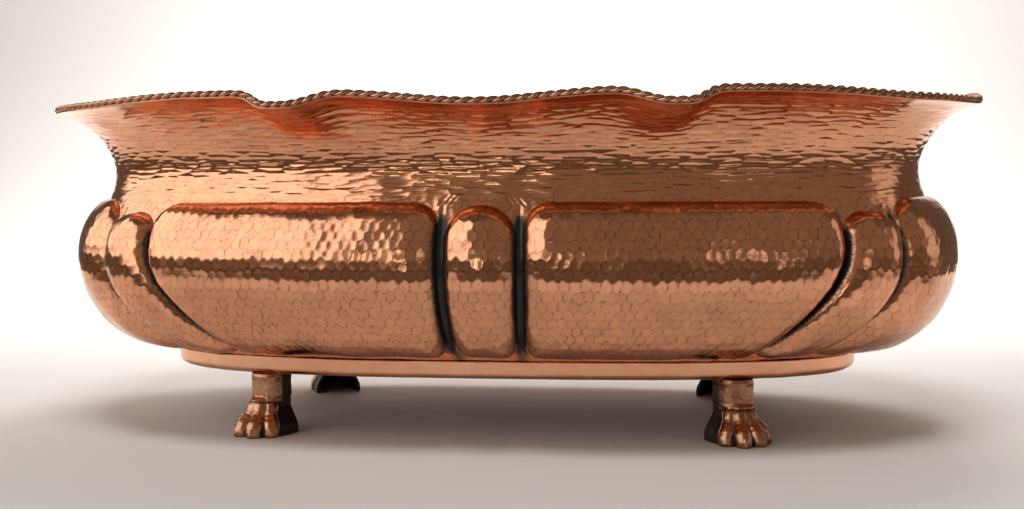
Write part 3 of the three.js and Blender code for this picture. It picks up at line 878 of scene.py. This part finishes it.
# the paw's darkest tone is painted as shade in its furrows, at its back and inside
PAW_TONES = ((0.58, 0.30, 0.18), (0.32, 0.15, 0.085), (0.020, 0.011, 0.008))
RIVET_TONES = ((0.62, 0.27, 0.14), (0.48, 0.19, 0.09), PATINA)

body_mat = metal("beaten_copper", COPPER, COPPER_DEEP, PATINA, 0.12, 0.5, 1.0, BODY_TINTS)
rope_mat = metal("border_copper", *ROPE_TONES, 0.26, 0.6, 1.0, ("groove",), 0.9)
plinth_mat = metal("plinth_copper", *PLINTH_TONES, 0.2, 0.5, 1.0)
plate_mat = metal("plate_copper", *PLATE_TONES, 0.42, 1.2, 2.0)
paw_mat = metal("paw_bronze", *PAW_TONES, 0.25, 0.8, 1.5, ("groove",))
rivet_mat = metal("rivet_copper", *RIVET_TONES, 0.36, 0.8, 1.5)

# ---------------------------------------------------------------- assembly
finish_piece(vessel(), body_mat, ["body"])
for strand in rope():
    finish_piece(strand, rope_mat, ["rim_rope"])
finish_piece(plinth(), plinth_mat, ["plinth_band"])

for foot, (sx, sy) in FEET.items():
    finish_piece(paw(f"lion_paw_{foot}", sx, sy), paw_mat, [f"paw_{foot}"])
    dx, dy = sx * math.sin(FOOT_TURN), sy * math.cos(FOOT_TURN)
    for k, sign in enumerate((-1, 1)):
        x, y = sx * FOOT_X - sign * RIVET_SIDE * dy, sy * FOOT_Y + sign * RIVET_SIDE * dx
        piece = rivet(f"rivet_head_{foot}_{k + 1}", x, y)
        finish_piece(piece, rivet_mat, [f"rivet_{foot}_{k + 1}"])

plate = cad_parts["base_plate"]
plate.data.materials.clear()
plate.data.materials.append(plate_mat)


# ---------------------------------------------------------------- studio
# bright openings round the object: from and to in degrees round it (0 is the front, plus is to
# the right), lowest and highest in degrees of height, softness of the edge, strength
WINDOWS = [
    (-112, -21, 4, 46, 2.5, 1.45),
    (-24, -8, -1, 50, 4, 0.12),
    (84, 108, -5, 30, 4, 0.55),
    (-13, -7, 0, 9, 0.8, 2.2),
    (23, 33, 4, 10, 1.2, 0.8),
    (-8, 84, 3, 60, 5, 0.10),
]
AMBIENT = 0.13


def backdrop():
    """A pale sheet to stand on and, behind it, a curved paper that rises out of it."""
    bend = [(1.5 + 0.9 * math.sin(a), 0.9 - 0.9 * math.cos(a)) for a in np.linspace(0, math.pi / 2, 20)]
    paper = bend + [(2.4, 2.2)]
    sheets = {
        "studio_floor": [(-0.62, -0.46, 0), (0.62, -0.46, 0), (1.0, 1.5, 0), (-1.4, 1.5, 0)],
        "studio_paper": [(x, y, z + 0.0005) for y, z in paper for x in (-0.86 * y, 0.56 * y + 0.05)],
    }
    m = bpy.data.materials.new("pale_floor")
    m.use_nodes = True
    bsdf = m.node_tree.nodes["Principled BSDF"]
    bsdf.inputs["Base Color"].default_value = (0.66, 0.635, 0.61, 1)
    bsdf.inputs["Roughness"].default_value = 0.9
    for name, verts in sheets.items():
        faces = [(2 * i, 2 * i + 1, 2 * i + 3, 2 * i + 2) for i in range(len(verts) // 2 - 1)]
        if name == "studio_floor":
            faces = [(0, 1, 2, 3)]
        mesh = bpy.data.meshes.new(name)
        mesh.from_pydata(verts, [], faces)
        mesh.polygons.foreach_set("use_smooth", [True] * len(mesh.polygons))
        mesh.materials.append(m)
        ob = bpy.data.objects.new(name, mesh)
        bpy.context.scene.collection.objects.link(ob)


def add_light(name, kind, at, target, power):
    """A light at a place, aimed at a point."""
    light = bpy.data.lights.new(name, kind)
    light.energy = power
    ob = bpy.data.objects.new(name, light)
    ob.location = at
    ob.rotation_euler = (Vector(target) - Vector(at)).to_track_quat("-Z", "Y").to_euler()
    bpy.context.scene.collection.objects.link(ob)
    return ob


def area(name, at, target, size, power):
    light = add_light(name, "AREA", at, target, power).data
    light.shape = "RECTANGLE"
    light.size, light.size_y = size


def pool(name, at, target, degrees, blend, size, power):
    """Soft-edged round pool of light on the floor, which the metal doesn't mirror."""
    ob = add_light(name, "SPOT", at, target, power)
    ob.visible_glossy = False
    ob.data.spot_size = math.radians(degrees)
    ob.data.spot_blend = blend
    ob.data.shadow_soft_size = size


def studio():
    """Surroundings with windows for the metal to mirror, lights for the floor, and the backdrop."""
    world = bpy.data.worlds.new("studio")
    bpy.context.scene.world = world
    world.use_nodes = True
    t = Tree(world.node_tree)
    way = t.node("ShaderNodeTexCoord").outputs["Generated"]
    xyz = t.node("ShaderNodeSeparateXYZ", {0: way})
    turn = t.math("ARCTAN2", xyz.outputs[0], t.math("MULTIPLY", xyz.outputs[1], -1.0))
    turn = t.math("MULTIPLY", turn, 180 / math.pi)
    rise = t.math("MULTIPLY", t.math("ARCSINE", xyz.outputs[2]), 180 / math.pi)

    def between(v, low, high, soft):
        opens, closes = t.fit(v, low - soft, low + soft, 0, 1), t.fit(v, high - soft, high + soft, 1, 0)
        return t.math("MULTIPLY", opens, closes)

    total = AMBIENT
    for left, right, low, high, soft, strength in WINDOWS:
        window = t.math("MULTIPLY", between(turn, left, right, soft), between(rise, low, high, soft))
        total = t.math("ADD", total, t.math("MULTIPLY", window, strength))
    tint = t.mix(t.fit(total, 0.2, 0.9, 0, 1), rgb(1.0, 0.80, 0.62), rgb(1.0, 0.985, 0.96))
    back = t.node("ShaderNodeBackground", {"Color": tint, "Strength": total})
    out = t.node("ShaderNodeOutputWorld")
    t.tree.links.new(back.outputs[0], out.inputs[0])
    pool("pool_front", (0.0, -0.9, 2.4), (0.0, 0.1, 0.0), 60, 0.4, 0.45, 112)
    pool("pool_under", (0.3, 1.3, 2.3), (0.0, 0.5, 0.0), 60, 0.5, 0.5, 95)
    pool("pool_rear", (0.0, 0.9, 2.4), (-0.3, 1.6, 0.0), 66, 0.7, 0.4, 230)
    area("wall_wash", (-0.1, 1.0, 1.7), (-0.1, 2.4, 0.5), (2.6, 0.4), 50)
    backdrop()


def camera():
    """The photograph's viewpoint: a little to the right of the front, below the rim."""
    azimuth, distance, height = math.radians(6.8), 0.883, 0.159
    pitch, roll = math.radians(-2.94), math.radians(-0.25)
    image_width, focal_pixels = 1024, 1240
    place = Vector((distance * math.sin(azimuth), -distance * math.cos(azimuth), height))
    level = math.cos(pitch)
    forward = Vector((-math.sin(azimuth) * level, math.cos(azimuth) * level, math.sin(pitch)))
    right = forward.cross(Vector((0, 0, 1))).normalized()
    up = right.cross(forward)
    r = right * math.cos(roll) + up * math.sin(roll)
    u = up * math.cos(roll) - right * math.sin(roll)
    data = bpy.data.cameras.new("camera")
    data.sensor_width = 36
    data.lens = focal_pixels / image_width * data.sensor_width
    data.clip_start = 0.05
    data.clip_end = 30
    ob = bpy.data.objects.new("camera", data)
    turn = Matrix((r, u, -forward)).transposed()
    ob.matrix_world = Matrix.Translation(place) @ turn.to_4x4()
    bpy.context.scene.collection.objects.link(ob)
    bpy.context.scene.camera = ob


studio()
camera()
bpy.context.scene.view_settings.view_transform = "Standard"
